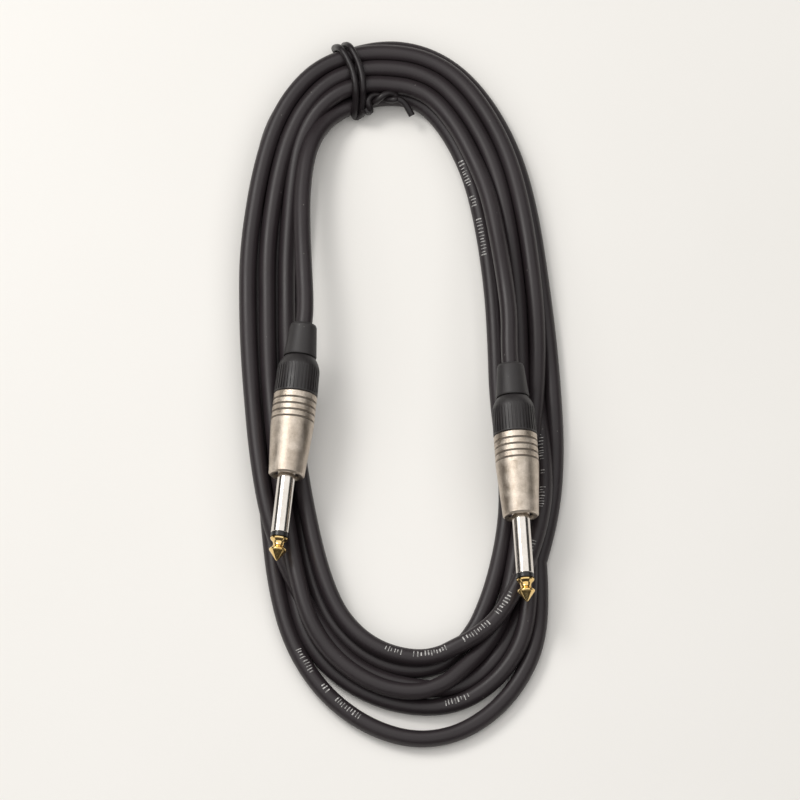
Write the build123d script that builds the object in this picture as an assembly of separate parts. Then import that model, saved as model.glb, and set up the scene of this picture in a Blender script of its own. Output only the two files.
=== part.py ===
from build123d import *
import math
import os

# Coiled instrument cable: two straight jack plugs on one screened cable, the coil held by a twist tie.
# Millimetres, +Z up. The coil lies on Z = 0, its tied end towards +Y, and both plugs lie on top of it.

# ---- cable -------------------------------------------------------------------------------------
CABLE_D = 6.0
CABLE_R = CABLE_D / 2
CORE_INSULATION_R = 1.2
CONDUCTOR_R = 0.45
SHIELD_R = 0.55

# ---- coil --------------------------------------------------------------------------------------
COIL_H = 11.0                 # two layers of cable, nested
LOOP_H = 6.0                  # the loose loop at the bottom is one cable high
LOOP_W = 6.0
COIL_OUTER = [(-56.0, 34.0), (-54.6, 62.0), (-47.6, 99.0), (-29.0, 123.6), (-2.0, 131.8),
              (24.0, 122.0), (42.6, 88.0), (51.4, 42.0), (55.8, 0.0), (55.5, -46.0),
              (47.6, -91.0), (29.0, -114.6), (6.0, -119.6), (-19.0, -111.0), (-37.6, -89.0),
              (-48.6, -51.0), (-54.4, -4.0)]
COIL_INNER = [(-34.4, 34.0), (-33.6, 76.0), (-26.6, 97.0), (-12.0, 106.6), (5.0, 103.4),
              (16.4, 91.0), (25.4, 62.0), (29.6, 28.0), (32.0, -12.0), (35.2, -48.0),
              (28.0, -78.0), (14.0, -91.6), (-2.0, -92.6), (-18.0, -80.0), (-28.6, -54.0),
              (-33.4, -10.0)]
LOOSE_LOOP = [(-39.0, -76.0), (-32.5, -106.0), (-14.0, -123.6), (4.0, -128.9), (22.0, -125.0),
              (37.6, -112.0), (46.0, -84.0)]

# ---- plug, along its own axis: 0 at the joint of shell and collar, + towards the tip -----------
SHAFT_R = 6.35 / 2
SHELL_L = 30.0
SHELL_R = 7.65
SHELL_NOSE_R = 6.3
SHELL_TAPER_START = 11.2
GROOVE_START = 2.6
GROOVE_PITCH = 2.35
GROOVE_COUNT = 4
GROOVE_W = 0.85
GROOVE_DEPTH = 0.45
SHELL_THREAD_R = 6.5          # bore where the collar's thread turns
SHELL_THREAD_L = 9.6
SHELL_BORE_R = 5.6
SHELL_SEAT_Z = 26.6           # shoulder that the sleeve's flange seats on
SHELL_NOSE_BORE_R = 4.6

SLEEVE_END = 51.3             # front end of the nickel shaft
SLEEVE_BORE_R = 2.4
FLANGE_R = 5.25
FLANGE_L = 2.4
BOSS_R = 4.5
BOSS_END = 29.3
TAIL_R = 4.0
TAIL_START = 22.3
RING_L = 1.5                  # black insulating ring behind the tip
TIP_END = 61.4
TIP_FLANGE_L = 1.8
TIP_WAIST_R = 1.95
TIP_HEAD_R = 3.13
TIP_HEAD_L = 4.9
PIN_R = 1.45
PIN_START = 19.2
FIT = 0.03                    # gap between pieces pressed together

COLLAR_L = 14.0
COLLAR_R = 7.75
COLLAR_SHOULDER_R = 7.55
COLLAR_NECK_R = 5.7
COLLAR_SHOULDER_L = 6.2
COLLAR_BULGE = 0.45            # how far its shoulder swells past a straight cone
RIB_COUNT = 38
RIB_L = 11.2
RIB_DEPTH = 0.45
SPIGOT_L = 8.2
SPIGOT_CORE_R = 5.95
THREAD_PITCH = 1.25
THREAD_CREST_R = 6.42
THREAD_TURNS = 5
COLLAR_BORE_R = 5.2
COLLAR_THROAT_R = 4.5
COLLAR_THROAT_L = 5.8

BOOT_L = 12.5
BOOT_REAR_R = 4.8
BOOT_LIP_R = 5.85
BOOT_BORE_R = CABLE_R + 0.08
BOOT_NECK_R = COLLAR_THROAT_R - 0.08
BOOT_CATCH_R = 5.05
BOOT_CATCH_L = 0.9
BOOT_GAP = 0.35

CHUCK_R = 5.05
CHUCK_REAR_R = 4.2
CHUCK_START = -6.6
CHUCK_END = 7.4
CHUCK_BITE = 0.06
CHUCK_SLOTS = 4
JACKET_END = 8.2
CORE_END = 14.6
CONDUCTOR_END = 19.8
LINER_T = 0.22

LUG_T = 0.5                   # sheet that both solder tags are cut from
TIP_LUG_R = 3.6
TIP_LUG_W = 2.4
TIP_LUG_Y = 2.7               # height of its tongue off the axis
TIP_LUG_START = 14.9
GROUND_LUG_R = 5.0
GROUND_LUG_W = 3.0
GROUND_LUG_Y = -4.62
GROUND_LUG_START = 10.6
CONDUCTOR_Y = TIP_LUG_Y - LUG_T / 2 - CONDUCTOR_R
SHIELD_Y = GROUND_LUG_Y + LUG_T / 2 + SHIELD_R

# ---- where the plugs lie -----------------------------------------------------------------------
PLUG_REST = 0.1               # gap between the coil's top and the shell
PLUG_TILT = 1.5               # degrees, the tip lower than the back
PLUG_A_JOINT = (-36.8, -6.7)
PLUG_A_HEADING = -6.1         # degrees from -Y, + towards +X
PLUG_B_JOINT = (40.6, -21.8)
PLUG_B_HEADING = 3.7

# ---- cable between each plug and the coil: after the straight run out of the boot --------------
STRAIGHT_END = -42.0          # on the plug's axis
LEAD_A_ROUTE = [(-34.0, 54.0, 17.8), (-35.0, 70.0, 12.8), (-32.6, 86.4, 8.8), (-26.0, 100.4, 7.6)]
LEAD_B_ROUTE = [(36.6, 38.5, 17.8), (34.2, 54.5, 12.8), (30.4, 70.5, 9.4), (25.2, 85.2, 7.8)]

# ---- tie ---------------------------------------------------------------------------------------
TIE_AT = (-16.3, 117.0)
TIE_HEADING = 17.0            # degrees, the coil's direction at the tie, from +X
TIE_SPAN = 21.6               # width of the bundle that the tie goes round
TIE_W = 4.4                   # two wraps side by side
TIE_T = 1.1
TIE_TAIL_R = 1.1
TIE_WIRE_R = 0.3
TIE_TAIL = [(-13.8, 105.6, 6.0), (-9.4, 103.6, 6.8), (-4.4, 103.0, 8.4), (0.0, 101.0, 9.0),
            (2.4, 97.0, 8.2)]


def revolved(profile):
    """A solid turned about the plug's axis from (radius, position) points."""
    outline = Polyline([(r, 0, z) for r, z in profile], close=True)
    return revolve(make_face(outline), axis=Axis.Z)


def tube(outer, inner, start, end):
    """A straight tube on the plug's axis."""
    return revolved([(inner, start), (outer, start), (outer, end), (inner, end)])


def rod(radius, start, end):
    """A straight rod on the plug's axis."""
    return Pos(0, 0, start) * extrude(Circle(radius), end - start)


def shell():
    """Die-cast shell: grooved at the back, tapered to the nose, bored for thread, lug and sleeve."""
    body = revolved([
        (SHELL_THREAD_R, 0), (SHELL_R - 0.3, 0), (SHELL_R, 0.3), (SHELL_R, SHELL_TAPER_START),
        (SHELL_NOSE_R + 0.05, SHELL_L - 0.5), (SHELL_NOSE_R - 0.45, SHELL_L),
        (SHELL_NOSE_BORE_R + 0.35, SHELL_L), (SHELL_NOSE_BORE_R, SHELL_L - 0.35),
        (SHELL_NOSE_BORE_R, SHELL_SEAT_Z), (SHELL_BORE_R - 0.3, SHELL_SEAT_Z),
        (SHELL_BORE_R - 0.3, SHELL_SEAT_Z - FLANGE_L), (SHELL_BORE_R, SHELL_SEAT_Z - FLANGE_L - 1.6),
        (SHELL_BORE_R, SHELL_THREAD_L + 0.9), (SHELL_THREAD_R, SHELL_THREAD_L)])
    for number in range(GROOVE_COUNT):
        middle = GROOVE_START + number * GROOVE_PITCH
        half = GROOVE_W / 2
        body -= revolved([(SHELL_R + 1, middle - half - 0.3), (SHELL_R - GROOVE_DEPTH, middle - half / 2),
                          (SHELL_R - GROOVE_DEPTH, middle + half / 2), (SHELL_R + 1, middle + half + 0.3)])
    return body


def sleeve():
    """Nickel sleeve: the jack's shaft, the flange that seats in the shell and the tail for the lug."""
    seat = SHELL_SEAT_Z
    return revolved([
        (SLEEVE_BORE_R, TAIL_START), (TAIL_R, TAIL_START), (TAIL_R, seat - FLANGE_L),
        (FLANGE_R, seat - FLANGE_L), (FLANGE_R, seat - FIT), (BOSS_R, seat - FIT),
        (BOSS_R, BOSS_END - 0.3), (BOSS_R - 0.3, BOSS_END), (SHAFT_R, BOSS_END),
        (SHAFT_R, SLEEVE_END - 0.2), (SHAFT_R - 0.2, SLEEVE_END), (SLEEVE_BORE_R, SLEEVE_END)])


def tip_insulator():
    """Black ring between the sleeve and the tip."""
    outer = SHAFT_R - 0.05
    return tube(outer, PIN_R + FIT, SLEEVE_END + FIT, SLEEVE_END + RING_L - FIT)


def core_insulator():
    """Tube that keeps the tip's pin clear of the sleeve."""
    return tube(SLEEVE_BORE_R - FIT, PIN_R + FIT, TAIL_START, SLEEVE_END)


def rear_insulator():
    """Washer between the sleeve's tail and the tip's lug."""
    return tube(TAIL_R, PIN_R + FIT, TAIL_START - 1.5, TAIL_START - FIT)


def tip():
    """Gold tip: flange, waist and pointed head, in one piece with the pin through the sleeve."""
    back = SLEEVE_END + RING_L
    head = TIP_END - TIP_HEAD_L
    flange_end = back + TIP_FLANGE_L
    with BuildSketch(Plane.XZ) as half:
        with BuildLine():
            Polyline((0, PIN_START), (PIN_R, PIN_START), (PIN_R, back), (SHAFT_R - 0.5, back),
                     (SHAFT_R, back + 0.5), (SHAFT_R - 0.15, back + 0.95), (TIP_WAIST_R + 0.25, flange_end))
            ThreePointArc((TIP_WAIST_R + 0.25, flange_end), (TIP_WAIST_R, (flange_end + head) / 2),
                          (TIP_WAIST_R + 0.35, head))
            Polyline((TIP_WAIST_R + 0.35, head), (TIP_HEAD_R - 0.35, head + 0.5))
            ThreePointArc((TIP_HEAD_R - 0.35, head + 0.5), (TIP_HEAD_R, head + 1.0),
                          (TIP_HEAD_R - 0.3, head + 1.5))
            Polyline((TIP_HEAD_R - 0.3, head + 1.5), (0.6, TIP_END - 0.4), (0.3, TIP_END - 0.1),
                     (0, TIP_END), (0, PIN_START))
        make_face()
    return revolve(half.sketch, axis=Axis.Z)


def tip_lug():
    """Solder tag on the pin: a washer with a tongue that runs back to the conductor."""
    back = TAIL_START - 1.5 - FIT
    washer = tube(TIP_LUG_R, PIN_R + FIT, back - LUG_T, back)
    length = back - TIP_LUG_START
    tongue = Pos(0, TIP_LUG_Y, TIP_LUG_START + length / 2) * Box(TIP_LUG_W, LUG_T, length)
    return washer + tongue


def ground_lug():
    """Ring behind the sleeve's flange with a long tongue for the screen."""
    front = SHELL_SEAT_Z - FLANGE_L - FIT
    ring = tube(GROUND_LUG_R, TAIL_R + FIT, front - LUG_T, front)
    length = front - GROUND_LUG_START
    tongue = Pos(0, GROUND_LUG_Y, GROUND_LUG_START + length / 2) * Box(GROUND_LUG_W, LUG_T, length)
    return ring + tongue


def liner():
    """Insulating tube inside the shell."""
    outer = SHELL_BORE_R - FIT
    return tube(outer, outer - LINER_T, SHELL_THREAD_L + 1.4, SHELL_SEAT_Z - FLANGE_L - 2.0)


def chuck():
    """Clamp that grips the jacket: split at the back, its cone closed by the collar."""
    bore = CABLE_R - CHUCK_BITE
    body = revolved([(bore, CHUCK_START), (CHUCK_REAR_R, CHUCK_START), (CHUCK_R, CHUCK_START + 3.4),
                     (CHUCK_R, CHUCK_END), (bore, CHUCK_END)])
    slot_l = 9.0
    for number in range(CHUCK_SLOTS):
        slot = Pos(4, 0, CHUCK_START + slot_l / 2) * Box(8, 0.7, slot_l)
        body -= Rot(Z=number * 360 / CHUCK_SLOTS + 45) * slot
    return body


def thread():
    """The collar's thread: one ridge wound round the spigot."""
    start = 1.2
    half = THREAD_PITCH * 0.36
    foot = SPIGOT_CORE_R - 0.15
    path = Helix(THREAD_PITCH, THREAD_PITCH * THREAD_TURNS, foot)
    ridge = Polyline([(foot, 0, -half), (THREAD_CREST_R, 0, -0.1), (THREAD_CREST_R, 0, 0.1),
                      (foot, 0, half)], close=True)
    return Pos(0, 0, start) * sweep(make_face(ridge), path=path, is_frenet=True)


def collar():
    """Screw collar: ribbed grip outside, threaded spigot in front, throat for the boot behind."""
    back = -COLLAR_L
    neck = (COLLAR_NECK_R, back + 0.25)
    shoulder = (COLLAR_SHOULDER_R, back + COLLAR_SHOULDER_L)
    bulge = ((neck[0] + shoulder[0]) / 2 + COLLAR_BULGE, (neck[1] + shoulder[1]) / 2 - COLLAR_BULGE)
    with BuildSketch(Plane.XZ) as half:
        with BuildLine():
            Polyline((COLLAR_THROAT_R, back), (COLLAR_NECK_R - 0.2, back), neck)
            ThreePointArc(neck, bulge, shoulder)
            Polyline(
                shoulder, (COLLAR_R, -0.3), (COLLAR_R - 0.2, -0.05), (SPIGOT_CORE_R, -0.05),
                (SPIGOT_CORE_R, SPIGOT_L - 0.4), (SPIGOT_CORE_R - 0.3, SPIGOT_L), (COLLAR_BORE_R, SPIGOT_L),
                (COLLAR_BORE_R, CHUCK_START + 3.3), (CHUCK_REAR_R + 0.45, CHUCK_START - 0.4),
                (CHUCK_REAR_R + 1.0, CHUCK_START - 0.5), (CHUCK_REAR_R + 1.0, back + COLLAR_THROAT_L),
                (COLLAR_THROAT_R, back + COLLAR_THROAT_L), (COLLAR_THROAT_R, back))
        make_face()
    grip = revolve(half.sketch, axis=Axis.Z)
    groove_w = math.pi * COLLAR_R / RIB_COUNT
    groove = Pos(COLLAR_R + 0.1, 0, -RIB_L / 2 - 0.7) * Box(2 * RIB_DEPTH + 0.2, groove_w, RIB_L)
    grooves = [Rot(Z=number * 360 / RIB_COUNT) * groove for number in range(RIB_COUNT)]
    return (grip - grooves) + thread()


def boot():
    """Rubber boot on the cable, its neck held in the collar's throat."""
    back = -COLLAR_L - BOOT_L
    lip = -COLLAR_L - BOOT_GAP
    catch = -COLLAR_L + COLLAR_THROAT_L + 0.1
    return revolved([
        (BOOT_BORE_R, back + 0.3), (BOOT_BORE_R + 0.35, back), (BOOT_REAR_R - 0.9, back),
        (BOOT_REAR_R - 0.35, back + 0.25), (BOOT_REAR_R, back + 1.0), (BOOT_LIP_R, lip - 0.4),
        (BOOT_LIP_R - 0.15, lip), (BOOT_NECK_R, lip), (BOOT_NECK_R, catch), (BOOT_CATCH_R, catch),
        (BOOT_CATCH_R, catch + BOOT_CATCH_L * 0.6), (BOOT_CATCH_R - 0.35, catch + BOOT_CATCH_L),
        (BOOT_BORE_R, catch + BOOT_CATCH_L)])


def core_wire():
    """Insulated core where the jacket is stripped."""
    return rod(CORE_INSULATION_R, JACKET_END, CORE_END)


def conductor():
    """Bare conductor, bent up from the core to the tip's lug."""
    path = FilletPolyline([(0, 0, CORE_END), (0, 0, CORE_END + 0.8), (0, CONDUCTOR_Y, CORE_END + 2.6),
                           (0, CONDUCTOR_Y, CONDUCTOR_END)], radius=0.7)
    return sweep(Plane(path @ 0, z_dir=path % 0) * Circle(CONDUCTOR_R), path=path)


def shield_pigtail():
    """Screen, twisted together and bent out to the ground lug."""
    path = FilletPolyline([(0, -2.0, JACKET_END), (0, -2.0, JACKET_END + 0.9), (0, SHIELD_Y, JACKET_END + 3.2),
                           (0, SHIELD_Y, JACKET_END + 7.6)], radius=0.9)
    return sweep(Plane(path @ 0, z_dir=path % 0) * Circle(SHIELD_R), path=path)


def solder(wire_y, wire_r, lug_face, start, end):
    """A bead of solder over a wire that lies on a lug, rounded at both ends."""
    middle = (start + end) / 2
    side = math.copysign(1, wire_y - lug_face)
    bead = Pos(0, wire_y, middle) * scale(Sphere(1), by=(wire_r * 2.2, wire_r * 1.8, (end - start) / 2))
    lug_side = Pos(0, lug_face - side * 5, middle) * Box(10, 10, 20)
    return bead - lug_side - Pos(0, wire_y, 0) * rod(wire_r + FIT, start - 1, end + 1)


def plug_parts():
    """Every piece of one plug, in the plug's own frame."""
    tip_face = TIP_LUG_Y - LUG_T / 2
    ground_face = GROUND_LUG_Y + LUG_T / 2
    return {
        "shell": shell(), "sleeve": sleeve(), "tip": tip(), "tip_insulator": tip_insulator(),
        "core_insulator": core_insulator(), "rear_insulator": rear_insulator(), "tip_lug": tip_lug(),
        "ground_lug": ground_lug(), "liner": liner(), "chuck": chuck(), "collar": collar(),
        "boot": boot(), "core_wire": core_wire(), "conductor": conductor(),
        "shield_pigtail": shield_pigtail(),
        "tip_solder": solder(CONDUCTOR_Y, CONDUCTOR_R, tip_face, CORE_END + 3.2, CONDUCTOR_END - 0.3),
        "ground_solder": solder(SHIELD_Y, SHIELD_R, ground_face, JACKET_END + 4.0, JACKET_END + 7.3)}


def plug_place(joint, heading):
    """Location of a plug: its axis points down the coil, the tip a little lower than the back."""
    turn = math.radians(heading)
    tilt = math.radians(PLUG_TILT)
    axis = Vector(math.sin(turn) * math.cos(tilt), -math.cos(turn) * math.cos(tilt), -math.sin(tilt))
    side = Vector(math.cos(turn), math.sin(turn), 0)
    height = COIL_H + PLUG_REST + SHELL_R / math.cos(tilt) + SHELL_TAPER_START * math.tan(tilt)
    return Plane(origin=(joint[0], joint[1], height), x_dir=side, z_dir=axis).location


def corner_radii(points):
    """One arc radius for each inner point: as large as its two runs allow."""
    radii = []
    for before, here, after in zip(points, points[1:], points[2:]):
        run_in = Vector(here) - Vector(before)
        run_out = Vector(after) - Vector(here)
        turn = math.radians(run_in.get_angle(run_out))
        radii.append(0.45 * min(run_in.length, run_out.length) / math.tan(turn / 2))
    return radii


def cable_lead(name, place, route):
    """Cable from the stripped end inside a plug to the coil, as runs joined by arcs."""
    points = [tuple((place * Pos(0, 0, position)).position) for position in (JACKET_END, STRAIGHT_END)]
    points += route
    radii = corner_radii(points)
    path = FilletPolyline(points, radius=radii)
    lead = sweep(Plane(path @ 0, z_dir=path % 0) * Circle(CABLE_R), path=path)
    section = math.pi * CABLE_R ** 2
    print(name, "radii", [round(r, 1) for r in radii], "length", round(path.length, 1),
          "volume/section*length", round(lead.volume / (section * path.length), 4))
    return lead


def tie_plane():
    """Plane across the bundle at the tie: x across the bundle, y up, z along the cable."""
    along = math.radians(TIE_HEADING)
    across = (math.sin(along), -math.cos(along), 0)
    return Plane(origin=(TIE_AT[0], TIE_AT[1], (COIL_H + TIE_T) / 2), x_dir=across,
                 z_dir=(math.cos(along), math.sin(along), 0))


def tie_band(grow, width):
    """The space inside the tie, grown outwards, as a rounded bar along the cable."""
    outline = RectangleRounded(TIE_SPAN + 2 * grow, COIL_H - TIE_T + 2 * grow, 2.4 + grow)
    return tie_plane() * extrude(outline, width / 2, both=True)


def cable_coil():
    """The coil's outer shape: a ring of nested turns and the loose loop at its bottom end."""
    outer = make_face(Spline(COIL_OUTER, periodic=True))
    ring = outer - make_face(Spline(COIL_INNER, periodic=True))
    band = trace(Spline(LOOSE_LOOP), LOOP_W)
    loop = extrude(band - outer, LOOP_H)
    return extrude(ring, COIL_H) + loop - (tie_band(TIE_T, TIE_W + 0.6) - tie_band(-0.05, TIE_W + 4))


def twist_tie():
    """Coated wire wound twice round the bundle, with its twisted ends lying along the inside."""
    band = tie_band(TIE_T - 0.05, TIE_W) - tie_band(0, TIE_W + 4)
    radii = corner_radii(TIE_TAIL)
    path = FilletPolyline(TIE_TAIL, radius=radii)
    tail = sweep(Plane(path @ 0, z_dir=path % 0) * Circle(TIE_TAIL_R), path=path)
    core = sweep(Plane(path @ 0, z_dir=path % 0) * Circle(TIE_WIRE_R), path=path)
    return band + tail - core, core


def main():
    parts = {}
    plugs = plug_parts()
    for suffix, joint, heading, route in (("a", PLUG_A_JOINT, PLUG_A_HEADING, LEAD_A_ROUTE),
                                          ("b", PLUG_B_JOINT, PLUG_B_HEADING, LEAD_B_ROUTE)):
        place = plug_place(joint, heading)
        for name, shape in plugs.items():
            parts[f"{name}_{suffix}"] = place * shape
        parts[f"cable_lead_{suffix}"] = cable_lead(f"cable_lead_{suffix}", place, route)
        joint_point = tuple(place.position)
        nose = tuple((place * Pos(0, 0, 1)).position)
        print("plug", suffix, "joint", joint_point, "axis", [b - a for a, b in zip(joint_point, nose)])
    parts["cable_coil"] = cable_coil()
    parts["twist_tie"], parts["twist_tie_wire"] = twist_tie()
    os.makedirs("parts", exist_ok=True)
    for name, shape in parts.items():
        export_step(shape, f"parts/{name}.step")
    box = Compound(children=list(parts.values())).bounding_box()
    print("box", tuple(box.min), tuple(box.max))


main()
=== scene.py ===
import math
import random

import bpy
import numpy as np
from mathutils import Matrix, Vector


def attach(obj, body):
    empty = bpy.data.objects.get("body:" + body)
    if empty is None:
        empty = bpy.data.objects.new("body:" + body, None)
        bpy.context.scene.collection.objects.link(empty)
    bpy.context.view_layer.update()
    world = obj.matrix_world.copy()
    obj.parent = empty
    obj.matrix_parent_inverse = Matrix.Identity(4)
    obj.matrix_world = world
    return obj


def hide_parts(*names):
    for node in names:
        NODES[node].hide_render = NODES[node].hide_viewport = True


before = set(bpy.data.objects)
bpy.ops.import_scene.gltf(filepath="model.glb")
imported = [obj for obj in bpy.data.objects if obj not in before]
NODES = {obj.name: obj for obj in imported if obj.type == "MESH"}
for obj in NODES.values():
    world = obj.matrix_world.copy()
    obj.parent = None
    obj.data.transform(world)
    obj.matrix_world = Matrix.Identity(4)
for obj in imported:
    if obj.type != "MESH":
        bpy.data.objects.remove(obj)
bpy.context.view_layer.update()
ROOT = "cable_and_plugs"

# ---- cable, in metres, from inside plug A to inside plug B --------------------------------------
CABLE_D = 0.006
CABLE_R = CABLE_D / 2
# each plug: where its collar meets its shell, and the way its tip points
JOINT_A = Vector((-0.0368, -0.0067, 0.0190459))
AXIS_A = Vector((-0.1062277, -0.9939972, -0.0261769))
JOINT_B = Vector((0.0406, -0.0218, 0.0190459))
AXIS_B = Vector((0.0645102, -0.9975737, -0.0261769))
# along a plug's axis: the cable's end in the collar, a place in the boot, and the first bend
CABLE_START = 0.0032
IN_BOOT = -0.025
STRAIGHT_END = -0.033
# each lead from its plug to the coil, close to the CAD's tubes
LEAD_A = [(-0.0341, 0.0440, 0.0190), (-0.0347, 0.0580, 0.0170), (-0.0346, 0.0740, 0.0145),
          (-0.0325, 0.0890, 0.0120), (-0.0275, 0.1000, 0.0080), (-0.0195, 0.1073, 0.0045)]
LEAD_B = [(0.0386, 0.0240, 0.0192), (0.0369, 0.0385, 0.0178), (0.0346, 0.0545, 0.0140),
          (0.0317, 0.0705, 0.0118)]

# ---- the coil: its outline, clockwise from the left side, and how far inside it each turn lies --
OUTLINE = [(-0.0560, 0.0340), (-0.0546, 0.0620), (-0.0484, 0.0992), (-0.0292, 0.1240),
           (-0.0020, 0.1322), (0.0232, 0.1208), (0.0426, 0.0880), (0.0514, 0.0420),
           (0.0558, 0.0000), (0.0557, -0.0460), (0.0484, -0.0912), (0.0290, -0.1146),
           (0.0060, -0.1196), (-0.0190, -0.1110), (-0.0376, -0.0890), (-0.0486, -0.0510),
           (-0.0544, -0.0040)]
FIRST_STATION = 3               # by the tie, where every turn is counted from
POINTS_PER_STATION = 2
STATION_STEP = 0.05             # each way along the outline, for its heading
# each turn: millimetres inside the outline at the 17 stations, then the layer it lies in there;
# the last one is short, and leads to plug B
TURNS = [
    ((19.5, 19.6, 16.0, 16.4, 17.6, 21.0, 17.3, 21.0, 19.8, 16.3, 13.4, 10.8, 12.2, 17.3, 18.9, 18.5, 15.8),
     (0, 0, 0, 0, 0, 0, 0, 0, 0, 0, 0.7, 1, 0.9, 0, 0, 0, 0)),
    ((13.0, 13.6, 12.6, 12.6, 13.0, 14.6, 9.5, 1.3, -5.6, -10.0, -5.6, 0.6, 4.0, 5.5, 5.8, 4.6, 2.4),
     (0.8, 0.6, 0.7, 0.6, 0.6, 0, 0, 0, 0, 0, 0, 0, 0, 0, 0, 0, 0)),
    ((2.4, 1.9, 2.6, 3.0, 3.0, 3.0, 3.0, 8.0, 7.4, 10.0, 10.2, 9.0, 3.6, 3.0, 2.6, 3.0, 5.8),
     (0, 0, 0, 0, 0, 0, 0, 0, 0.2, 0, 0, 0, 1, 1, 1, 1, 1)),
    ((3.9, 6.0, 4.6, 4.0, 4.2, 7.0, 11.5, 12.5, 11.4, 5.6, 5.2, 5.2, 7.6, 8.5, 9.2, 9.2, 11.4),
     (1.1, 1, 1, 1.1, 1.1, 1, 0.7, 0.3, 0.9, 1, 1, 1.3, 1.1, 1, 1, 1, 1)),
    ((9.0, 11.0, 9.8, 9.4, 10.0, 12.0, 9.0, 3.8, 3.2, 2.4, 2.4, 2.6, 9.0, 11.5, 12.5, 12.0, 9.6),
     (1.5, 1.5, 1.5, 1.5, 1.5, 1, 1, 0.9, 0.4, 0, 0, 0.7, 0, 0, 0, 0, 0)),
    ((8.3, 9.3, 9.0, 8.2, 8.0, 8.8, 6.3, 14.0, 19.6, 18.0, 16.9, 16.2, 16.3, 16.0, 16.1, 15.5, 15.6),
     (0, 0, 0, 0, 0, 0, 2, 2, 2, 1.2, 1.2, 1.2, 1.2, 1, 1, 1, 1)),
    ((14.5, 17.4, 15.8, 15.8),
     (1.8, 1.4, 1.4, 1.4)),
]
LAYER_RISE = 0.9                # height of a layer, in cable diameters
MM = 0.001

# ---- how the turns settle -----------------------------------------------------------------------
GAP = 1.01                      # width that a cable takes up beside another, in diameters
SINK = 0.0001                   # metres that each round lets the turns down
TURN_PUSH = 1.3                 # share of an overlap with a turn that a round takes away
PLUG_PUSH = 0.8
PLUG_CLEARANCE = 0.0001         # metres kept between a turn and a plug
HOLD = 0.07                     # pull back to the route: everywhere, and more by the tie
TIE_HOLD = 0.25
TIE_HOLD_REACH = 0.014
OWN_SHARE = 0.45                # how much of each round's move is a point's own
EVEN_SHARE = 0.55               # and how much is evened out along the cable

# ---- the plugs' rough shape, along their axis from the collar's joint to the tip -----------------
BALL_STEP = 0.002
FIRST_BALL = -13
LAST_BALL = 31
BOOT_R = 0.0056
COLLAR_START = -0.012
SHELL_R = 0.0077
TAPER_START = 0.0112
TAPER = 0.0718                  # metres that the radius loses in each metre
SHELL_END = 0.030
SHAFT_R = 0.0032

# ---- the tie, wound twice round the coil ---------------------------------------------------------
TIE_AT = Vector((-0.0144, 0.1170, 0.0))
TIE_HEADING = math.radians(14)
TIE_R = 0.00122
TIE_SLICE = 0.0035              # cable this near the tie is inside it
BUNDLE_REACH = 0.02             # cable further across than this isn't
BUNDLE_WIDTH = 0.021
RING_POINTS = 28
WRAP_SPREAD = 4.0               # from the first wrap to the last, in wire radii
OUTER_SPREAD = 1.2              # and how much more at the coil's outside
WRAP_BOW = 0.0019               # how far the wraps lean back at both sides of the bundle
KNOT_HEIGHT = 0.0060
TAIL = [(-0.0118, 0.1084, 0.0074), (-0.0085, 0.1098, 0.0084), (-0.0040, 0.1102, 0.0088),
        (0.0000, 0.1090, 0.0084), (0.0026, 0.1062, 0.0077), (0.0046, 0.1032, 0.0066)]
TWISTED_SHARE = 0.62            # of the tail, after which only one end goes on
TWIST_RATE = 0.16               # radians between two of its points


# ---- shared node groups ------------------------------------------------------------------------
def new_group(name, inputs, outputs):
    """An empty node group with float or colour sockets; returns its tree and end nodes."""
    tree = bpy.data.node_groups.new(name, "ShaderNodeTree")
    for socket, value in inputs.items():
        kind = "NodeSocketColor" if isinstance(value, tuple) else "NodeSocketFloat"
        made = tree.interface.new_socket(name=socket, in_out="INPUT", socket_type=kind)
        made.default_value = value
    for socket, kind in outputs.items():
        tree.interface.new_socket(name=socket, in_out="OUTPUT", socket_type=kind)
    return tree, tree.nodes.new("NodeGroupInput"), tree.nodes.new("NodeGroupOutput")


def add(tree, kind, **values):
    """A node with its properties, and its inputs by name, set or linked."""
    node = tree.nodes.new(kind)
    for key, value in values.items():
        if hasattr(node, key) and key not in node.inputs:
            setattr(node, key, value)
            continue
        socket = node.inputs[int(key[1:])] if key[0] == "_" else node.inputs[key]
        if isinstance(value, bpy.types.NodeSocket):
            tree.links.new(value, socket)
        else:
            socket.default_value = value
    return node


def noise(tree, vector, scale, detail=3.0, roughness=0.55):
    """Noise from 0 to 1, at a scale that is a number or a socket."""
    made = add(tree, "ShaderNodeTexNoise", Vector=vector, Detail=detail, Roughness=roughness)
    if isinstance(scale, bpy.types.NodeSocket):
        tree.links.new(scale, made.inputs["Scale"])
    else:
        made.inputs["Scale"].default_value = scale
    return made.outputs["Fac"]


def spread(tree, value, low, high, to_low=0.0, to_high=1.0):
    """Value stretched from one range to another and kept inside it."""
    made = add(tree, "ShaderNodeMapRange")
    tree.links.new(value, made.inputs["Value"])
    for name, amount in (("From Min", low), ("From Max", high), ("To Min", to_low), ("To Max", to_high)):
        if isinstance(amount, bpy.types.NodeSocket):
            tree.links.new(amount, made.inputs[name])
        else:
            made.inputs[name].default_value = amount
    return made.outputs["Result"]


def math_node(tree, operation, a, b):
    return add(tree, "ShaderNodeMath", operation=operation, _0=a, _1=b).outputs[0]


def blend_colour(tree, mask, a, b):
    """Colour a where the mask is 0 and colour b where it is 1."""
    made = add(tree, "ShaderNodeMix", data_type="RGBA")
    for index, value in ((0, mask), (6, a), (7, b)):
        if isinstance(value, bpy.types.NodeSocket):
            tree.links.new(value, made.inputs[index])
        else:
            made.inputs[index].default_value = value
    return made.outputs[2]


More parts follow.
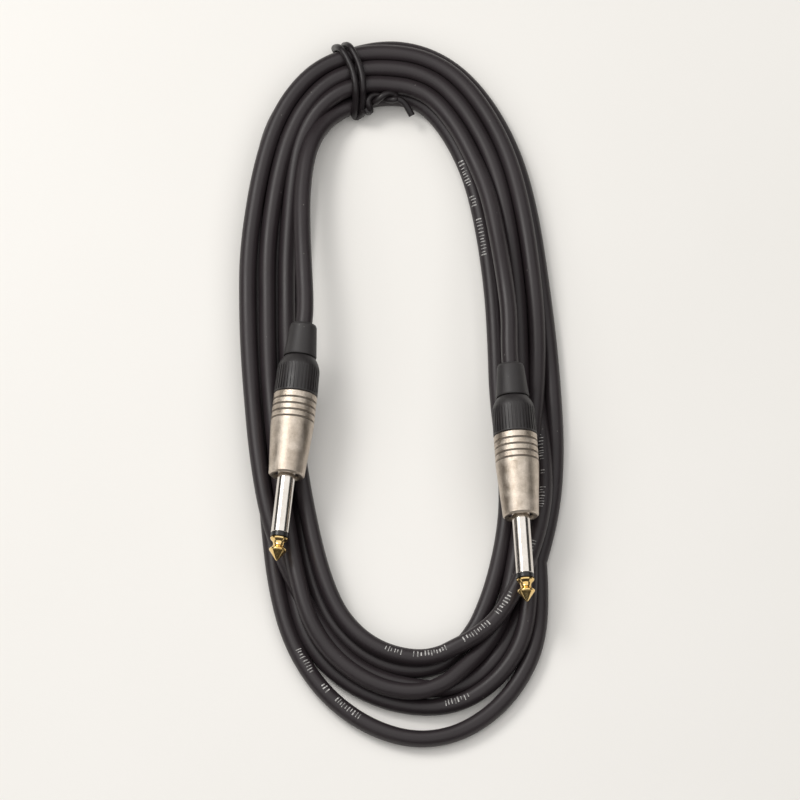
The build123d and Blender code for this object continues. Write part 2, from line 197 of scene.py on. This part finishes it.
def build_surface_group():
    """Cloudy colour, uneven gloss and fine grain of a moulded, cast or plated surface."""
    tree, start, end = new_group(
        "uneven_surface",
        {"Colour": (0.5, 0.5, 0.5, 1), "Second colour": (0.4, 0.4, 0.4, 1), "Cloud scale": 60.0,
         "Gloss low": 0.3, "Gloss high": 0.5, "Grain scale": 2500.0},
        {"Colour": "NodeSocketColor", "Roughness": "NodeSocketFloat", "Height": "NodeSocketFloat"})
    place = add(tree, "ShaderNodeTexCoord").outputs["Object"]
    cloud = noise(tree, place, start.outputs["Cloud scale"], 5.0, 0.6)
    grain = noise(tree, place, start.outputs["Grain scale"], 3.0, 0.6)
    speckle = math_node(tree, "ADD", math_node(tree, "MULTIPLY", cloud, 0.7),
                        math_node(tree, "MULTIPLY", grain, 0.3))
    mask = spread(tree, speckle, 0.36, 0.64)
    tree.links.new(blend_colour(tree, mask, start.outputs["Colour"], start.outputs["Second colour"]),
                   end.inputs["Colour"])
    gloss = spread(tree, speckle, 0.35, 0.65, start.outputs["Gloss low"], start.outputs["Gloss high"])
    tree.links.new(gloss, end.inputs["Roughness"])
    tree.links.new(grain, end.inputs["Height"])
    return tree


def build_dust_group():
    """Small pale specks of dust, sparse and uneven, over a colour."""
    tree, start, end = new_group(
        "dust_specks",
        {"Colour": (0.02, 0.02, 0.02, 1), "Dust": (0.2, 0.19, 0.175, 1), "Scale": 420.0, "Size": 0.06,
         "Amount": 0.5},
        {"Colour": "NodeSocketColor", "Mask": "NodeSocketFloat"})
    place = add(tree, "ShaderNodeTexCoord").outputs["Object"]
    cells = add(tree, "ShaderNodeTexVoronoi", Vector=place)
    tree.links.new(start.outputs["Scale"], cells.inputs["Scale"])
    dot = math_node(tree, "LESS_THAN", cells.outputs["Distance"], start.outputs["Size"])
    patch = noise(tree, place, 45.0, 3.0)
    chosen = add(tree, "ShaderNodeSeparateColor", Color=cells.outputs["Color"]).outputs[0]
    few = math_node(tree, "LESS_THAN", chosen, math_node(tree, "MULTIPLY", patch, start.outputs["Amount"]))
    mask = math_node(tree, "MULTIPLY", dot, few)
    tree.links.new(blend_colour(tree, mask, start.outputs["Colour"], start.outputs["Dust"]),
                   end.inputs["Colour"])
    tree.links.new(mask, end.inputs["Mask"])
    return tree


def build_scuff_group():
    """Fine scuffs in crossing directions, as a mask."""
    tree, start, end = new_group(
        "fine_scuffs", {"Scale": 90.0, "Amount": 0.5}, {"Mask": "NodeSocketFloat"})
    place = add(tree, "ShaderNodeTexCoord").outputs["Object"]
    masks = []
    for turn, stretch in ((0.5, (9.0, 1.0, 3.0)), (-0.9, (1.0, 11.0, 4.0))):
        moved = add(tree, "ShaderNodeMapping", Vector=place)
        moved.inputs["Rotation"].default_value = (0.3, 0.2, turn)
        moved.inputs["Scale"].default_value = stretch
        lines = noise(tree, moved.outputs[0], start.outputs["Scale"], 2.0, 0.4)
        masks.append(spread(tree, lines, 0.66, 0.72))
    both = math_node(tree, "MAXIMUM", *masks)
    area = spread(tree, noise(tree, place, 38.0, 3.0), 0.42, 0.66)
    tree.links.new(math_node(tree, "MULTIPLY", math_node(tree, "MULTIPLY", both, area),
                             start.outputs["Amount"]), end.inputs["Mask"])
    return tree


SURFACE = build_surface_group()
DUST = build_dust_group()
SCUFFS = build_scuff_group()


def place_group(tree, group, **values):
    """Adds a shared group with its inputs set or linked; returns its outputs."""
    made = tree.nodes.new("ShaderNodeGroup")
    made.node_tree = group
    for key, value in values.items():
        socket = made.inputs[key.replace("_", " ")]
        if isinstance(value, bpy.types.NodeSocket):
            tree.links.new(value, socket)
        else:
            socket.default_value = value
    return made.outputs


def new_material(name, **shader_values):
    """A material with a Principled BSDF whose constants are set by socket name."""
    made = bpy.data.materials.new(name)
    made.use_nodes = True
    tree = made.node_tree
    shader = tree.nodes["Principled BSDF"]
    for key, value in shader_values.items():
        shader.inputs[key.replace("_", " ")].default_value = value
    return made, tree, shader


def set_bump(tree, shader, height, depth, strength=1.0):
    """Relief from a height of 0 to 1, depth metres deep."""
    bump = add(tree, "ShaderNodeBump", Strength=strength, Distance=depth, Height=height)
    tree.links.new(bump.outputs["Normal"], shader.inputs["Normal"])


def rgb(red, green, blue):
    return (red, green, blue, 1.0)


# ---- materials ---------------------------------------------------------------------------------
def plastic(name, colour, second, gloss, grain, depth, cloud=50.0, dust=0.0, dust_scale=420.0,
            **shader_values):
    """Moulded or extruded plastic: cloudy colour, uneven gloss, fine grain and some dust."""
    made, tree, shader = new_material(name, **shader_values)
    surface = place_group(tree, SURFACE, Colour=colour, Second_colour=second, Cloud_scale=cloud,
                          Gloss_low=gloss[0], Gloss_high=gloss[1], Grain_scale=grain)
    tree.links.new(surface["Roughness"], shader.inputs["Roughness"])
    colour_out = surface["Colour"]
    if dust:
        colour_out = place_group(tree, DUST, Colour=colour_out, Amount=dust, Scale=dust_scale)["Colour"]
    tree.links.new(colour_out, shader.inputs["Base Color"])
    set_bump(tree, shader, surface["Height"], depth)
    return made


def metal(name, colour, second, gloss, grain, depth, cloud=90.0, scuffs=0.3, scuff_scale=90.0,
          **shader_values):
    """Plated metal: slightly cloudy, with grain of its finish and fine scuffs."""
    made, tree, shader = new_material(name, Metallic=1.0, **shader_values)
    surface = place_group(tree, SURFACE, Colour=colour, Second_colour=second, Cloud_scale=cloud,
                          Gloss_low=gloss[0], Gloss_high=gloss[1], Grain_scale=grain)
    tree.links.new(surface["Colour"], shader.inputs["Base Color"])
    mask = place_group(tree, SCUFFS, Scale=scuff_scale, Amount=scuffs)["Mask"]
    rough = math_node(tree, "ADD", surface["Roughness"], math_node(tree, "MULTIPLY", mask, 0.35))
    tree.links.new(rough, shader.inputs["Roughness"])
    height = math_node(tree, "SUBTRACT", surface["Height"], mask)
    set_bump(tree, shader, height, depth)
    return made


def cable_print_ink():
    """Pale grey ink, thin and worn, so that the jacket shows through in places."""
    made, tree, shader = new_material("cable_print_ink", Metallic=0.0)
    place = add(tree, "ShaderNodeTexCoord").outputs["Object"]
    worn = spread(tree, noise(tree, place, 900.0, 4.0, 0.7), 0.40, 0.58)
    tree.links.new(blend_colour(tree, worn, rgb(0.14, 0.137, 0.133), rgb(0.60, 0.585, 0.57)),
                   shader.inputs["Base Color"])
    tree.links.new(spread(tree, worn, 0.0, 1.0, 0.45, 0.62), shader.inputs["Roughness"])
    return made


def table_top():
    """Pale table, very slightly warm and cloudy."""
    made, tree, shader = new_material("table_top", Metallic=0.0)
    place = add(tree, "ShaderNodeTexCoord").outputs["Object"]
    cloud = spread(tree, noise(tree, place, 3.0, 4.0), 0.3, 0.7)
    tree.links.new(blend_colour(tree, cloud, rgb(0.845, 0.828, 0.798), rgb(0.885, 0.868, 0.842)),
                   shader.inputs["Base Color"])
    tree.links.new(spread(tree, cloud, 0.0, 1.0, 0.55, 0.7), shader.inputs["Roughness"])
    set_bump(tree, shader, noise(tree, place, 1800.0, 3.0), 0.00002)
    return made


def build_materials():
    """Every material by the slot or the piece that it is made for."""
    return {
        "cable_jacket": plastic("cable_jacket", rgb(0.0196, 0.0146, 0.0167), rgb(0.0280, 0.0217, 0.0242),
                                (0.37, 0.50), 2600.0, 0.00003, 40.0, 0.24, 380.0, Specular_IOR_Level=0.4),
        "boot_rubber": plastic("boot_rubber", rgb(0.0205, 0.0180, 0.0188), rgb(0.0300, 0.0268, 0.0275),
                               (0.46, 0.62), 3200.0, 0.00004, 120.0, 0.5, 500.0),
        "collar_plastic": plastic("collar_plastic", rgb(0.0185, 0.016, 0.0168), rgb(0.028, 0.0248, 0.0255),
                                  (0.36, 0.52), 3600.0, 0.00003, 160.0, 0.5, 600.0),
        "shell_nickel": metal("shell_nickel", rgb(0.43, 0.360, 0.290), rgb(0.73, 0.65, 0.565),
                              (0.32, 0.52), 3000.0, 0.00008, 260.0, 0.6, 70.0),
        "shaft_nickel": metal("shaft_nickel", rgb(0.73, 0.68, 0.625), rgb(0.84, 0.80, 0.755),
                              (0.10, 0.18), 900.0, 0.000004, 120.0, 0.25, 140.0),
        "tip_gold": metal("tip_gold", rgb(0.84, 0.56, 0.20), rgb(0.98, 0.74, 0.36),
                          (0.08, 0.19), 1500.0, 0.00001, 200.0, 0.3, 160.0),
        "insulator_black": plastic("insulator_black", rgb(0.010, 0.010, 0.011), rgb(0.018, 0.018, 0.018),
                                   (0.22, 0.34), 3000.0, 0.00001),
        "insulator_white": plastic("insulator_white", rgb(0.72, 0.71, 0.67), rgb(0.62, 0.60, 0.56),
                                   (0.38, 0.52), 2500.0, 0.00002),
        "lug_tinned": metal("lug_tinned", rgb(0.62, 0.62, 0.60), rgb(0.74, 0.73, 0.70),
                            (0.24, 0.40), 1800.0, 0.00002),
        "liner_film": plastic("liner_film", rgb(0.58, 0.50, 0.34), rgb(0.48, 0.40, 0.26),
                              (0.30, 0.44), 2000.0, 0.00001),
        "chuck_plastic": plastic("chuck_plastic", rgb(0.55, 0.54, 0.50), rgb(0.44, 0.43, 0.40),
                                 (0.40, 0.55), 2600.0, 0.00002),
        "conductor_copper": metal("conductor_copper", rgb(0.72, 0.34, 0.20), rgb(0.86, 0.46, 0.30),
                                  (0.24, 0.40), 2600.0, 0.00003),
        "solder": metal("solder", rgb(0.52, 0.53, 0.54), rgb(0.68, 0.68, 0.68),
                        (0.20, 0.42), 1400.0, 0.00003),
        "tie_plastic": plastic("tie_plastic", rgb(0.0100, 0.0075, 0.0085), rgb(0.0160, 0.0125, 0.0138),
                               (0.32, 0.46), 1800.0, 0.00003, 300.0, Specular_IOR_Level=0.36),
        # painted shade: the dark colour of the rings laid in the bottom of the shells' grooves, where shade
        # falls
        "groove_painted_shade": plastic("groove_painted_shade", rgb(0.130, 0.112, 0.094), rgb(0.220, 0.192, 0.162),
                                (0.45, 0.65), 2600.0, 0.00003, 300.0),
        "tie_wire": metal("tie_wire", rgb(0.50, 0.49, 0.47), rgb(0.66, 0.65, 0.62),
                          (0.26, 0.42), 3000.0, 0.00002),
    }


# ---- cable -------------------------------------------------------------------------------------
def smooth_value(values, position, closed):
    """Value between stations on a smooth (Catmull-Rom) line through them."""
    count = len(values)
    first = math.floor(position) if closed else min(max(math.floor(position), 0), count - 2)
    share = position - first
    a, b, c, d = (values[(first + k) % count if closed else min(max(first + k, 0), count - 1)]
                  for k in (-1, 0, 1, 2))
    return b + 0.5 * share * (c - a + share * (2 * a - 5 * b + 4 * c - d + share * (3 * (b - c) + d - a)))


def coil_turns():
    """Points of the turns, from the first turn's start by the tie to the last turn's end."""
    outline = [np.array(point) for point in OUTLINE]
    inward = [value * MM for turn, _ in TURNS for value in turn]
    layers = [float(value) for _, turn in TURNS for value in turn]
    points = []
    for number in range((len(inward) - 1) * POINTS_PER_STATION + 1):
        position = number / POINTS_PER_STATION
        station = position + FIRST_STATION
        ahead = smooth_value(outline, station + STATION_STEP, True)
        ahead -= smooth_value(outline, station - STATION_STEP, True)
        normal = np.array((ahead[1], -ahead[0])) / np.linalg.norm(ahead)
        place = smooth_value(outline, station, True) + normal * smooth_value(inward, position, False)
        layer = max(smooth_value(layers, position, False), 0.0)
        points.append((place[0], place[1], CABLE_R + layer * LAYER_RISE * CABLE_D))
    return points


def on_axis(joint, axis, distance):
    """A place on a plug's axis, measured from its joint towards its tip."""
    return joint + axis * distance


def cable_route():
    """All the cable's points, from plug A to plug B, and which of them may settle."""
    positions = (CABLE_START, IN_BOOT, STRAIGHT_END)
    start = [tuple(on_axis(JOINT_A, AXIS_A, position)) for position in positions] + LEAD_A
    end = [tuple(on_axis(JOINT_B, AXIS_B, position)) for position in positions] + LEAD_B
    turns = coil_turns()[1:]
    route = np.array(start + turns + end[::-1])
    free = np.zeros(len(route), bool)
    free[len(start):len(start) + len(turns)] = True
    return route, free


def plug_balls():
    """Balls that fill both plugs, as something for the turns below to stay clear of."""
    balls = []
    for joint, axis in ((JOINT_A, AXIS_A), (JOINT_B, AXIS_B)):
        for step in range(FIRST_BALL, LAST_BALL + 1):
            position = step * BALL_STEP
            if position < COLLAR_START:
                radius = BOOT_R
            elif position < TAPER_START:
                radius = SHELL_R
            elif position < SHELL_END:
                radius = SHELL_R - (position - TAPER_START) * TAPER
            else:
                radius = SHAFT_R
            balls.append((*on_axis(joint, axis, position), radius))
    return np.array(balls)


def spline_weights(count, samples):
    """How much each control point counts at each sample of the cable's own kind of spline."""
    weights = np.zeros(((count - 2) * samples, count))
    for point in range(1, count - 1):
        for sample in range(samples):
            share = (sample + 0.5) / samples
            row = weights[(point - 1) * samples + sample]
            row[point - 1:point + 2] = 0.5 * (1 - share) ** 2, 0.5 + share * (1 - share), 0.5 * share ** 2
    return weights


def settle(route, free, rounds=240, samples=3):
    """Lets the turns sink on each other until they lie a cable's width apart, held by the tie."""
    weights = spline_weights(len(route), samples)
    load = np.maximum(weights.sum(0), 0.2)[:, None]
    points = route.copy()
    index = np.arange(len(weights))
    apart = np.abs(index[:, None] - index[None, :]) > 3 * samples
    balls = plug_balls()
    from_tie = np.linalg.norm(route[:, :2] - np.array(TIE_AT)[:2], axis=1)
    hold = (HOLD + TIE_HOLD * np.exp(-(from_tie / TIE_HOLD_REACH) ** 2))[:, None]
    for _ in range(rounds):
        line = weights @ points
        move = np.zeros_like(line)
        gaps = line[:, None, :] - line[None, :, :]
        distance = np.sqrt((gaps ** 2).sum(-1)) + 1e-9
        first, second = np.nonzero((distance < CABLE_D * GAP) & apart)
        share = (CABLE_D * GAP - distance[first, second]) / distance[first, second] * 0.5
        np.add.at(move, first, share[:, None] * gaps[first, second] * TURN_PUSH)
        gaps = line[:, None, :] - balls[None, :, :3]
        distance = np.sqrt((gaps ** 2).sum(-1)) + 1e-9
        depth = CABLE_R + balls[None, :, 3] + PLUG_CLEARANCE - distance
        deepest = depth.argmax(1)
        depth = np.maximum(depth[index, deepest], 0)
        move += (depth / distance[index, deepest])[:, None] * gaps[index, deepest] * PLUG_PUSH
        move[:, 2] += np.maximum(CABLE_R - line[:, 2], 0)
        change = weights.T @ move / load
        change[:, 2] -= SINK
        change[:, :2] += (route - points)[:, :2] * hold
        moved = points + change - route
        even = moved.copy()
        even[1:-1] = 0.25 * moved[:-2] + 0.5 * moved[1:-1] + 0.25 * moved[2:]
        moved = route + OWN_SHARE * moved + EVEN_SHARE * even
        height = moved[:, 2].copy()
        height[1:-1] = 0.15 * moved[:-2, 2] + 0.7 * moved[1:-1, 2] + 0.15 * moved[2:, 2]
        moved[:, 2] = np.maximum(height, CABLE_R)
        points[free] = moved[free]
    return points


def nurbs_curve(name, points, radius, closed=False, steps=10, sides=5):
    """A round bar along one smooth spline, its radius kept at the spline's points."""
    data = bpy.data.curves.new(name, "CURVE")
    data.dimensions = "3D"
    spline = data.splines.new("NURBS")
    spline.points.add(len(points) - 1)
    for made, point in zip(spline.points, points):
        made.co = (*point, 1.0)
        made.radius = radius
    spline.order_u = 3
    spline.use_cyclic_u = closed
    spline.use_endpoint_u = not closed
    data.resolution_u = steps
    data.bevel_depth = 1.0 if radius else 0.0
    data.bevel_resolution = sides
    data.use_fill_caps = True
    made = bpy.data.objects.new(name, data)
    bpy.context.scene.collection.objects.link(made)
    return made


def centreline(curve):
    """The curve's own line as points."""
    data = curve.data
    kept, data.bevel_depth = data.bevel_depth, 0.0
    bpy.context.view_layer.update()
    line = bpy.data.meshes.new_from_object(curve.evaluated_get(bpy.context.evaluated_depsgraph_get()))
    data.bevel_depth = kept
    points = np.array([vertex.co[:] for vertex in line.vertices])
    bpy.data.meshes.remove(line)
    return points


def finish_piece(made, material, body=ROOT):
    """Gives a piece its material and the body that it rides on."""
    made.data.materials.append(material)
    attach(made, body)
    return made


# ---- twist tie ---------------------------------------------------------------------------------
def bundle_outline(line, grow):
    """Closed outline of the cable bundle at the tie, as (across, up) points in order."""
    along = np.array((math.cos(TIE_HEADING), math.sin(TIE_HEADING), 0.0))
    across = np.array((math.sin(TIE_HEADING), -math.cos(TIE_HEADING), 0.0))
    offset = line - np.array(TIE_AT)
    near = (np.abs(offset @ along) < TIE_SLICE) & (np.abs(offset @ across) < BUNDLE_REACH)
    angles = np.linspace(0, 2 * math.pi, 48, endpoint=False)
    ring = np.stack([np.cos(angles), np.sin(angles)], 1) * (CABLE_R + grow)
    middle = np.stack([offset[near] @ across, line[near][:, 2]], 1)
    cloud = (middle[:, None, :] + ring[None, :, :]).reshape(-1, 2)
    cloud[:, 1] = np.maximum(cloud[:, 1], grow)
    order = sorted(map(tuple, cloud))
    hull = []
    for points in (order, order[::-1]):
        side = []
        for point in points:
            while len(side) > 1 and ((side[-1][0] - side[-2][0]) * (point[1] - side[-2][1])
                                     - (side[-1][1] - side[-2][1]) * (point[0] - side[-2][0])) <= 0:
                side.pop()
            side.append(point)
        hull += side[:-1]
    return np.array(hull)


def even_ring(points, count):
    """The closed outline as evenly spaced points, from the one furthest across."""
    closed = np.vstack([points, points[:1]])
    steps = np.linalg.norm(np.diff(closed, axis=0), axis=1)
    run = np.concatenate([[0], np.cumsum(steps)])
    start = run[int(np.argmax(points[:, 0] - 0.3 * points[:, 1]))]
    places = (start + np.arange(count) / count * run[-1]) % run[-1]
    return np.stack([np.interp(places, run, closed[:, 0]), np.interp(places, run, closed[:, 1])], 1)


def tail_strand(path, phase, count):
    """One end of the tie, wound round the first count points of the tail's middle line."""
    twisted = len(path) * TWISTED_SHARE
    points = []
    for number in range(0, count, 2):
        here = Vector(path[number])
        ahead = Vector(path[min(number + 1, len(path) - 1)]) - Vector(path[max(number - 1, 0)])
        ahead.normalize()
        side = ahead.cross(Vector((0, 0, 1))).normalized()
        up = side.cross(ahead)
        turn = phase + number * TWIST_RATE
        fade = 1.0 if number < twisted else 0.25
        points.append(here + (side * math.cos(turn) + up * math.sin(turn)) * (TIE_R * 0.95) * fade)
    return points


def build_tie(line, materials):
    """Coated wire wound twice round the bundle, its ends twisted and laid along the inside."""
    along = Vector((math.cos(TIE_HEADING), math.sin(TIE_HEADING), 0.0))
    across = Vector((math.sin(TIE_HEADING), -math.cos(TIE_HEADING), 0.0))
    ring = even_ring(bundle_outline(line, TIE_R), RING_POINTS)
    wraps = []
    for number in range(2 * len(ring)):
        side, up = ring[number % len(ring)]
        share = number / (2 * len(ring) - 1)
        outer = 0.5 - side / BUNDLE_WIDTH              # 1 at the coil's outside, 0 at its inside
        bow = WRAP_BOW * (2 * outer - 1) ** 2
        shift = (share - 0.5) * (WRAP_SPREAD + OUTER_SPREAD * outer) * TIE_R - bow
        wraps.append(TIE_AT + across * side + along * shift + Vector((0, 0, up)))
    inner = TIE_AT + across * (ring[:, 0].max() + TIE_R)
    knot = Vector((inner.x - 0.0004, inner.y + 0.0006, KNOT_HEIGHT))
    start = [knot + Vector((-0.001, 0.0, 0.0012)), wraps[0] + across * 0.0006 + along * 0.0012]
    end = [wraps[-1] + across * 0.0008 + Vector((0, 0, 0.0004)), knot + Vector((0.0006, 0.0002, 0.0014))]
    first = nurbs_curve("twist_tie_wraps", start + wraps + end, TIE_R, steps=6, sides=4)
    spine = nurbs_curve("tie_spine", [knot] + [Vector(point) for point in TAIL], 0.0, steps=12)
    path = centreline(spine)
    bpy.data.objects.remove(spine)
    pieces = [first]
    shorter = math.ceil(len(path) * TWISTED_SHARE)
    for name, phase, count in (("twist_tie_tail", 0.0, len(path)), ("twist_tie_end", math.pi, shorter)):
        pieces.append(nurbs_curve(name, tail_strand(path, phase, count), TIE_R * 0.96, steps=4, sides=4))
    for piece in pieces:
        finish_piece(piece, materials["tie_plastic"])
    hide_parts("twist_tie", "twist_tie_wire")
    return pieces


# ---- printed marks -----------------------------------------------------------------------------
# metres along the cable where a group starts and ends, and its lean from the top, in radians
PRINTED = [(0.179, 0.189, 0.5), (0.193, 0.197, 0.5), (0.202, 0.217, 0.4), (0.953, 0.971, 0.1),
           (0.977, 0.987, 0.1), (2.638, 2.647, 0.0), (3.105, 3.121, 0.2), (3.126, 3.134, 0.2),
           (3.147, 3.163, 0.1), (3.168, 3.193, 0.1), (3.199, 3.222, 0.1)]
GROUP_LENGTH = (0.007, 0.016)
GROUP_GAP = 0.0035
TICK_WIDTHS = (0.00028, 0.00028, 0.00045)
TICK_HEIGHTS = (0.0021, 0.0021, 0.0014)
TICK_DROPS = (0.0, 0.0, 0.105)  # further round the jacket, in radians
TICK_GAP = (0.0006, 0.0011)
TICK_ROWS = 5
INK_HEIGHT = 0.00004


def print_tick(line, run, place, lean, width, tall):
    """Corners, in pairs, of one tick that bends over the jacket at a place along it."""
    here = np.array([np.interp(place, run, line[:, k]) for k in range(3)])
    ahead = np.array([np.interp(place + 0.001, run, line[:, k]) for k in range(3)]) - here
    ahead /= np.linalg.norm(ahead)
    side = np.cross(ahead, (0, 0, 1.0))
    side /= np.linalg.norm(side)
    up = np.cross(side, ahead)
    half = tall / 2 / CABLE_R
    corners = []
    for row in range(TICK_ROWS):
        angle = lean + half * (2 * row / (TICK_ROWS - 1) - 1)
        outward = side * math.sin(angle) + up * math.cos(angle)
        for edge in (-0.5, 0.5):
            corners.append(tuple(here + ahead * width * edge + outward * (CABLE_R + INK_HEIGHT)))
    return corners


def build_print(line, material, groups):
    """Worn ink ticks along the jacket's upper side, in groups, at the given stretches."""
    steps = np.linalg.norm(np.diff(line, axis=0), axis=1)
    run = np.concatenate([[0], np.cumsum(steps)])
    draw = random.Random(11)
    verts, faces = [], []
    for start, end, lean in groups:
        place = start
        while place < end:
            group_end = min(place + draw.uniform(*GROUP_LENGTH), end)
            while place < group_end:
                width = draw.choice(TICK_WIDTHS)
                tall = draw.choice(TICK_HEIGHTS)
                drop = draw.choice(TICK_DROPS)
                first = len(verts)
                verts += print_tick(line, run, place, lean + drop, width, tall)
                for row in range(first, first + 2 * (TICK_ROWS - 1), 2):
                    faces.append((row, row + 1, row + 3, row + 2))
                place += width + draw.uniform(*TICK_GAP)
            place += GROUP_GAP
    mesh = bpy.data.meshes.new("cable_print")
    mesh.from_pydata(verts, [], faces)
    made = bpy.data.objects.new("cable_print", mesh)
    bpy.context.scene.collection.objects.link(made)
    return finish_piece(made, material)


# ---- painted shade in the shells' grooves ------------------------------------------------------
GROOVES = 4
GROOVE_MIDDLE = 0.0026          # of the rearmost groove, from the collar's joint
GROOVE_PITCH = 0.00235
SHADE_RING_REACH = 0.00724           # middle of the painted shade ring from the plug's axis
SHADE_RING_R = 0.00022
SHADE_RING_CORNERS = 32


def build_groove_shade(suffix, joint, axis, material):
    """A dark ring of painted shade in the bottom of each of a shell's four grooves."""
    side = axis.cross(Vector((0, 0, 1))).normalized()
    up = side.cross(axis)
    reach = SHADE_RING_REACH / math.cos(math.pi / SHADE_RING_CORNERS)
    turns = [2 * math.pi * corner / SHADE_RING_CORNERS for corner in range(SHADE_RING_CORNERS)]
    for number in range(GROOVES):
        middle = on_axis(joint, axis, GROOVE_MIDDLE + number * GROOVE_PITCH)
        ring = [middle + (side * math.cos(turn) + up * math.sin(turn)) * reach for turn in turns]
        name = f"groove_painted_shade_{suffix}{number + 1}"
        made = nurbs_curve(name, ring, SHADE_RING_R, closed=True, steps=4, sides=2)
        finish_piece(made, material)


# ---- build -------------------------------------------------------------------------------------
MATERIALS = build_materials()

SLOT_OF = {"shell": "shell_nickel", "sleeve": "shaft_nickel", "tip": "tip_gold",
           "tip_insulator": "insulator_black", "core_insulator": "insulator_white",
           "rear_insulator": "insulator_black", "tip_lug": "lug_tinned", "ground_lug": "lug_tinned",
           "liner": "liner_film", "chuck": "chuck_plastic", "collar": "collar_plastic",
           "boot": "boot_rubber", "core_wire": "insulator_white", "conductor": "conductor_copper",
           "shield_pigtail": "conductor_copper", "tip_solder": "solder", "ground_solder": "solder"}
for piece, slot in SLOT_OF.items():
    for suffix in "ab":
        for held in NODES[f"{piece}_{suffix}"].material_slots:
            held.material = MATERIALS[slot]

# dark rings of painted shade in the bottom of both shells' grooves
build_groove_shade("a", JOINT_A, AXIS_A, MATERIALS["groove_painted_shade"])
build_groove_shade("b", JOINT_B, AXIS_B, MATERIALS["groove_painted_shade"])
route, free = cable_route()
cable = nurbs_curve("cable", settle(route, free), CABLE_R, steps=8, sides=8)
finish_piece(cable, MATERIALS["cable_jacket"])
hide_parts("cable_coil", "cable_lead_a", "cable_lead_b")
line = centreline(cable)
tie = build_tie(line, MATERIALS)
marks = build_print(line, cable_print_ink(), PRINTED)


# ---- table, lights and camera ------------------------------------------------------------------
def build_table():
    """A wide flat top for the cable to lie on."""
    half = 3.0
    mesh = bpy.data.meshes.new("table")
    corners = [(-half, -half, 0), (half, -half, 0), (half, half, 0), (-half, half, 0)]
    mesh.from_pydata(corners, [], [(0, 1, 2, 3)])
    made = bpy.data.objects.new("table", mesh)
    bpy.context.scene.collection.objects.link(made)
    mesh.materials.append(table_top())


def area_light(name, place, target, size, power, colour):
    """A rectangular panel of light aimed at a target."""
    data = bpy.data.lights.new(name, "AREA")
    data.shape = "RECTANGLE"
    data.size, data.size_y = size
    data.energy = power
    data.color = colour
    made = bpy.data.objects.new(name, data)
    bpy.context.scene.collection.objects.link(made)
    made.visible_camera = False
    made.location = place
    made.rotation_euler = (Vector(target) - Vector(place)).to_track_quat("-Z", "Y").to_euler()


def build_light():
    """Soft light from a wide panel above and a small one at the back left."""
    area_light("ceiling_light", (-0.2, -0.05, 1.0), (-0.2, -0.05, 0), (2.9, 2.5), 23.6, (1.0, 0.99, 0.97))
    area_light("key_light", (-0.6, 0.5, 0.95), (0, 0, 0), (0.5, 0.4), 5.5, (1.0, 0.985, 0.955))
    world = bpy.data.worlds.new("studio")
    world.use_nodes = True
    world.node_tree.nodes["Background"].inputs["Color"].default_value = (1.0, 0.98, 0.96, 1.0)
    world.node_tree.nodes["Background"].inputs["Strength"].default_value = 0.06
    bpy.context.scene.world = world
    bpy.context.scene.view_settings.view_transform = "Standard"


VIEW_TARGET = Vector((0.0, -0.00135, 0.0))
VIEW_ELEVATION = math.radians(70)
VIEW_HALF_WIDTH = 0.1413        # metres from the middle of the view to its side, at the target


def build_camera():
    """A long lens that looks down on the coil from its loose end."""
    data = bpy.data.cameras.new("camera")
    data.lens = 900.0
    data.sensor_width = 36.0
    distance = VIEW_HALF_WIDTH * data.lens / (data.sensor_width / 2)
    made = bpy.data.objects.new("camera", data)
    back = Vector((0, -math.cos(VIEW_ELEVATION), math.sin(VIEW_ELEVATION)))
    made.location = VIEW_TARGET + back * distance
    made.rotation_euler = (VIEW_TARGET - made.location).to_track_quat("-Z", "Y").to_euler()
    bpy.context.scene.collection.objects.link(made)
    bpy.context.scene.camera = made


build_table()
build_light()
build_camera()
bpy.context.view_layer.update()
